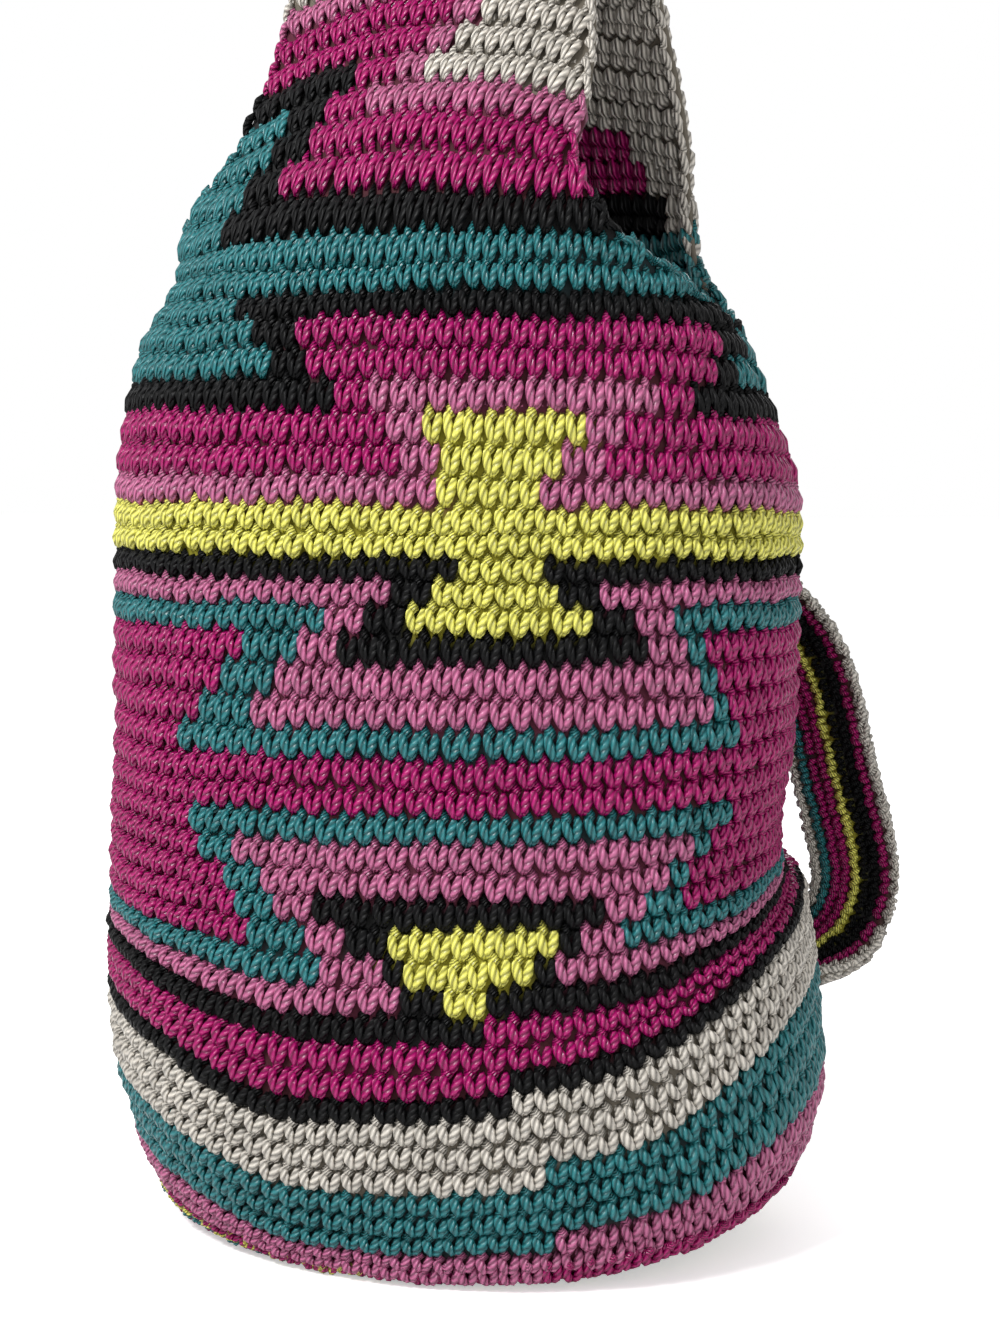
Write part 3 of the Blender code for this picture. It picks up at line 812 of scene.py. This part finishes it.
# %% The Geometry Nodes tree
def make_stitch_tree():
    group, nodes, links = new_group(
        "stitches_on_points",
        "GeometryNodeTree",
        (
            ("Points", "NodeSocketGeometry", None),
            ("Stitch", "NodeSocketObject", None),
            ("Material", "NodeSocketMaterial", None),
            ("Wobble", "NodeSocketFloat", 0.06),
            ("Seed", "NodeSocketInt", 3),
        ),
        (("Stitches", "NodeSocketGeometry"),),
    )
    given = nodes.new("NodeGroupInput")
    info = nodes.new("GeometryNodeObjectInfo")
    links.new(given.outputs["Stitch"], info.inputs["Object"])
    named = {}
    for name in ("turn", "size"):
        named[name] = nodes.new("GeometryNodeInputNamedAttribute")
        named[name].data_type = "FLOAT_VECTOR"
        named[name].inputs["Name"].default_value = name
    rotation = nodes.new("FunctionNodeEulerToRotation")
    links.new(named["turn"].outputs["Attribute"], rotation.inputs[0])
    random = nodes.new("FunctionNodeRandomValue")
    random.data_type = "FLOAT_VECTOR"
    for socket, furthest in enumerate(((-1, -1, -1.4), (1, 1, 1.4))):
        limit = nodes.new("ShaderNodeVectorMath")
        limit.operation = "SCALE"
        limit.inputs[0].default_value = furthest
        links.new(given.outputs["Wobble"], limit.inputs["Scale"])
        links.new(limit.outputs[0], random.inputs[socket])
    links.new(given.outputs["Seed"], random.inputs["Seed"])
    wobble = nodes.new("FunctionNodeEulerToRotation")
    links.new(random.outputs[0], wobble.inputs[0])
    turned = nodes.new("FunctionNodeRotateRotation")
    turned.rotation_space = "LOCAL"
    links.new(rotation.outputs[0], turned.inputs[0])
    links.new(wobble.outputs[0], turned.inputs[1])
    place = nodes.new("GeometryNodeInstanceOnPoints")
    links.new(given.outputs["Points"], place.inputs["Points"])
    links.new(info.outputs["Geometry"], place.inputs["Instance"])
    links.new(turned.outputs[0], place.inputs["Rotation"])
    links.new(named["size"].outputs["Attribute"], place.inputs["Scale"])
    real = nodes.new("GeometryNodeRealizeInstances")
    links.new(place.outputs[0], real.inputs[0])
    paint = nodes.new("GeometryNodeSetMaterial")
    links.new(real.outputs[0], paint.inputs["Geometry"])
    links.new(given.outputs["Material"], paint.inputs["Material"])
    out = nodes.new("NodeGroupOutput")
    links.new(paint.outputs[0], out.inputs[0])
    return group


stitch_tree = make_stitch_tree()


# %% Make the stitches real
POINT_SPREAD, SIZE_SPREAD, TINTS = 0.0003, 0.05, (0.88, 1.08)
WOBBLE, WOBBLE_SEED = 0.06, 3


def stitch_points(name, laid):
    """A cloud of points with the turn, size and tint of each stitch."""
    data = bpy.data.meshes.new(name + "_points")
    spots = [tuple(point + rng.normal(0, POINT_SPREAD, 3)) for _, point, *_ in laid]
    data.from_pydata(spots, [], [])
    turns, sizes, tints = [], [], []
    for _, _, across, up, outward, width, height, depth in laid:
        turns += list(Matrix((across, up, outward)).transposed().to_euler())
        grow = 1 + rng.uniform(-SIZE_SPREAD, SIZE_SPREAD)
        sizes += [width * grow, height * grow, depth * grow]
        tints.append(rng.uniform(*TINTS))
    data.attributes.new("turn", "FLOAT_VECTOR", "POINT").data.foreach_set("vector", turns)
    data.attributes.new("size", "FLOAT_VECTOR", "POINT").data.foreach_set("vector", sizes)
    data.attributes.new("tint", "FLOAT", "POINT").data.foreach_set("value", tints)
    return data


def stitch_cloud(name, laid, template, material):
    """One piece with all the given stitches."""
    cloud = add_object(name + "_points", stitch_points(name, laid))
    bpy.context.scene.collection.objects.link(template)
    modifier = cloud.modifiers.new("stitches", "NODES")
    modifier.node_group = stitch_tree
    inputs = {i.name: i.identifier for i in stitch_tree.interface.items_tree if i.in_out == "INPUT"}
    modifier[inputs["Stitch"]] = template
    modifier[inputs["Material"]] = material
    modifier[inputs["Wobble"]] = WOBBLE
    modifier[inputs["Seed"]] = WOBBLE_SEED
    evaluated = cloud.evaluated_get(bpy.context.evaluated_depsgraph_get())
    made = bpy.data.meshes.new_from_object(evaluated)
    made.name = name
    for spare in ("turn", "size"):
        if spare in made.attributes:
            made.attributes.remove(made.attributes[spare])
    bpy.context.scene.collection.objects.unlink(template)
    bpy.data.objects.remove(cloud)
    return add_object(name, made)


# %% One piece for each yarn
MOST_STITCHES = 1400

# group, start of the piece's name, slot
GROUPS = (
    ("outside", "bag", "crochet_fabric"),
    ("inside", "bag_inside", "crochet_fabric"),
    ("strap", "strap", "crochet_strap"),
)
for group, prefix, slot in GROUPS:
    for yarn, material in yarn_materials.items():
        laid = sorted((s for s in stitches[group] if s[0] == yarn), key=lambda s: s[1][2])
        parts = math.ceil(len(laid) / MOST_STITCHES)
        for part in range(parts):
            share = laid[part * len(laid) // parts : (part + 1) * len(laid) // parts]
            name = f"{prefix}_{yarn}_stitches" + (f"_{part + 1}" if parts > 1 else "")
            piece = stitch_cloud(name, share, templates[group], material)
            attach(piece, "root")
            print(name, len(share), "stitches,", len(piece.data.polygons), "faces")

# %% [markdown]
# ## The ground behind the stitches, with painted shade
# Between two stitches the fabric goes deeper. A closed shell fills the wall there. It has one colour
# for each stitch, kept as an attribute, darkened in its material so that a gap shows a painted shade of its
# yarn.


# %% Build the shell
OUTER_DEPTH, INNER_DEPTH = 0.0022, WALL - 0.0018
FOLD_STEPS = 8


def make_ground():
    mesh = bmesh.new()
    shade = mesh.verts.layers.color.new("ground")
    columns, fork = 48, 2

    def ring(row, inward):
        front_left, front_right, back_right, back_left = rims(np.array(float(row)))
        spans = (
            (front_left, front_right, columns),
            (front_right, back_right, fork),
            (back_right, back_left, columns),
            (back_left, front_left + STITCHES, fork),
        )
        stitch = np.concatenate([np.linspace(a, b, n, endpoint=False) for a, b, n in spans])
        rows = np.full(len(stitch), float(row))
        point, across, up, outward, width, height = surface_frame(rows, stitch)
        point = point - outward * inward
        if row <= REST_ROW:
            point[:, 2] = inward
        made = []
        for p, s in zip(point, stitch):
            vert = mesh.verts.new(p)
            colour = YARNS[yarn_at(int(math.floor(row + 0.5)), s)]
            vert[shade] = (*colour, 1)
            made.append(vert)
        return made

    rows = [REST_ROW, -3, -2, -1] + [k * 0.5 for k in range(0, int(LAST_ROW * 2 + 2))]
    count = 2 * (columns + fork)
    right, left = columns, 2 * columns + fork
    sides = []
    for depth in (OUTER_DEPTH, INNER_DEPTH):
        rings = [ring(row, depth) for row in rows]
        mesh.faces.new(rings[0])
        for low, high, row in zip(rings, rings[1:], rows):
            for c in range(count):
                in_right = right <= c < right + fork and row >= RIGHT_FORK_ROW
                in_left = c >= left and row >= LEFT_FORK_ROW
                if not (in_right or in_left):
                    d = (c + 1) % count
                    mesh.faces.new((low[c], low[d], high[d], high[c]))
        sides.append(rings)
    outer, inner = sides
    for first, fork_row in ((right, RIGHT_FORK_ROW), (left, LEFT_FORK_ROW)):
        lowest = rows.index(fork_row)
        for c in (first, (first + fork) % count):
            for i in range(lowest, len(rows) - 1):
                mesh.faces.new((outer[i][c], outer[i + 1][c], inner[i + 1][c], inner[i][c]))
        for c in range(first, first + fork):
            d = (c + 1) % count
            mesh.faces.new((outer[lowest][c], outer[lowest][d], inner[lowest][d], inner[lowest][c]))
    folds = []
    for rings in (outer, inner):
        top = rings[-1]
        front = [top[c] for c in range(columns + 1)]
        back = [top[(right + fork + c) % count] for c in range(columns + 1)]
        lines = [front]
        for step in range(1, FOLD_STEPS):
            turn = math.pi * step / FOLD_STEPS
            line = []
            for c in range(columns + 1):
                a, b = front[c].co, back[columns - c].co
                middle, half = (a + b) / 2, (a - b) / 2
                rise = Vector((0, 0, half.length * math.sin(turn)))
                vert = mesh.verts.new(middle + half * math.cos(turn) + rise)
                vert[shade] = (*YARNS["white"], 1)
                line.append(vert)
            lines.append(line)
        lines.append(list(reversed(back)))
        for low, high in zip(lines, lines[1:]):
            for c in range(columns):
                mesh.faces.new((low[c], low[c + 1], high[c + 1], high[c]))
        folds.append(lines)
    for end in (0, columns):
        for i in range(FOLD_STEPS):
            a, b = folds[0][i][end], folds[0][i + 1][end]
            mesh.faces.new((a, b, folds[1][i + 1][end], folds[1][i][end]))
    unused = [vert for vert in mesh.verts if not vert.link_faces]
    bmesh.ops.delete(mesh, geom=unused, context="VERTS")
    data = mesh_data(mesh, "bag_ground")
    data.shade_smooth()
    data.materials.append(gap_shade_ground)
    return add_object("bag_ground", data)


# %% Colour the shell
# the yarn's colour times this gives the painted shade in the gaps between stitches
GAP_SHADE_TONE = 0.40


def make_ground_material():
    """The yarn that the attribute names, darkened into a painted shade for the gaps between stitches."""
    material, nodes, links, shader = new_material("painted_gap_shade", 0.9)
    colour = nodes.new("ShaderNodeAttribute")
    colour.attribute_name = "ground"
    scale = nodes.new("ShaderNodeVectorMath")
    scale.operation = "SCALE"
    scale.inputs["Scale"].default_value = GAP_SHADE_TONE
    links.new(colour.outputs["Color"], scale.inputs[0])
    links.new(scale.outputs[0], shader.inputs["Base Color"])
    return material


gap_shade_ground = make_ground_material()
ground = make_ground()
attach(ground, "root")
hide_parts("bag_body")
print("ground:", len(ground.data.polygons), "faces")


# %% The strap's ground
STRAP_SIDE_DEPTH, STRAP_FACE_DEPTH = 0.0008, 0.0016


def make_strap_ground():
    mesh = bmesh.new()
    shade = mesh.verts.layers.color.new("ground")
    middle, _, facing, across, _ = strap_route(81)
    half_width, half_depth = STRAP_WIDTH / 2 - STRAP_SIDE_DEPTH, STRAP_THICKNESS / 2 - STRAP_FACE_DEPTH
    cells = len(STRAP_YARNS)
    rings = []
    for point, normal, side in zip(middle, facing, across):
        ring = []
        for face in (1, -1):
            for c in range(cells + 1):
                w = (c / cells * 2 - 1) * half_width * face
                vert = mesh.verts.new(Vector(point + side * w + normal * half_depth * face))
                number = min(c, cells - 1) if face > 0 else max(cells - 1 - c, 0)
                vert[shade] = (*YARNS[STRAP_YARNS[number]], 1)
                ring.append(vert)
        rings.append(ring)
    for low, high in zip(rings, rings[1:]):
        for i in range(len(low)):
            k = (i + 1) % len(low)
            mesh.faces.new((low[i], low[k], high[k], high[i]))
    mesh.faces.new(rings[0])
    mesh.faces.new(rings[-1])
    data = mesh_data(mesh, "strap_ground")
    # the same painted shade of the yarns as on the bag's ground
    data.materials.append(gap_shade_ground)
    return add_object("strap_ground", data)


strap_ground = make_strap_ground()
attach(strap_ground, "root")
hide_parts("sling_strap")

# %% [markdown]
# ## Camera, floor and light
# The camera looks a little down at the bag, 28 degrees round from its front, as in the photograph.


# %% Camera
def make_camera():
    data = bpy.data.cameras.new("camera")
    data.sensor_width = 36
    data.lens = 57.5
    camera = add_object("camera", data)
    camera.location = (0.403, -0.721, 0.273)
    camera.rotation_euler = (math.radians(85.53), 0, math.radians(28))
    bpy.context.scene.camera = camera


make_camera()


# %% Floor and light
FLOOR_GLOW = 0.45
LIGHT_TARGET = (0, 0, 0.25)
WORLD_STRENGTH = 0.65


def make_floor():
    """A pale floor that glows a little for the camera alone, so that its far end is white."""
    mesh = bpy.data.meshes.new("floor")
    mesh.from_pydata([(-30, -30, 0), (30, -30, 0), (30, 30, 0), (-30, 30, 0)], [], [(0, 1, 2, 3)])
    floor = add_object("floor", mesh)
    material, nodes, links, shader = new_material("floor", 0.9)
    shader.inputs["Base Color"].default_value = (0.9, 0.9, 0.9, 1)
    shader.inputs["Emission Color"].default_value = (1, 1, 1, 1)
    path = nodes.new("ShaderNodeLightPath")
    lift = maths(nodes, links, "MULTIPLY", path.outputs["Is Camera Ray"], FLOOR_GLOW)
    links.new(lift, shader.inputs["Emission Strength"])
    mesh.materials.append(material)


def make_light(name, spot, size, power):
    data = bpy.data.lights.new(name, "AREA")
    data.size = size
    data.energy = power
    light = add_object(name, data)
    light.location = spot
    aim = Vector(LIGHT_TARGET) - Vector(spot)
    light.rotation_euler = aim.to_track_quat("-Z", "Y").to_euler()


def make_world():
    world = bpy.data.worlds.new("studio")
    bpy.context.scene.world = world
    world.use_nodes = True
    nodes, links = world.node_tree.nodes, world.node_tree.links
    back = nodes["Background"]
    seen = nodes.new("ShaderNodeBackground")
    path = nodes.new("ShaderNodeLightPath")
    mix = nodes.new("ShaderNodeMixShader")
    back.inputs["Color"].default_value = (1, 1, 1, 1)
    back.inputs["Strength"].default_value = WORLD_STRENGTH
    seen.inputs["Color"].default_value = (1, 1, 1, 1)
    seen.inputs["Strength"].default_value = 1.0
    links.new(path.outputs["Is Camera Ray"], mix.inputs[0])
    links.new(back.outputs[0], mix.inputs[1])
    links.new(seen.outputs[0], mix.inputs[2])
    links.new(mix.outputs[0], nodes["World Output"].inputs["Surface"])


make_floor()
make_light("key", (-0.35, -1.0, 1.35), 0.5, 25)
make_light("fill", (1.3, -0.6, 0.7), 0.9, 4)
make_light("back", (-0.5, 1.3, 1.1), 0.9, 7)
make_world()
bpy.context.scene.view_settings.view_transform = "Standard"
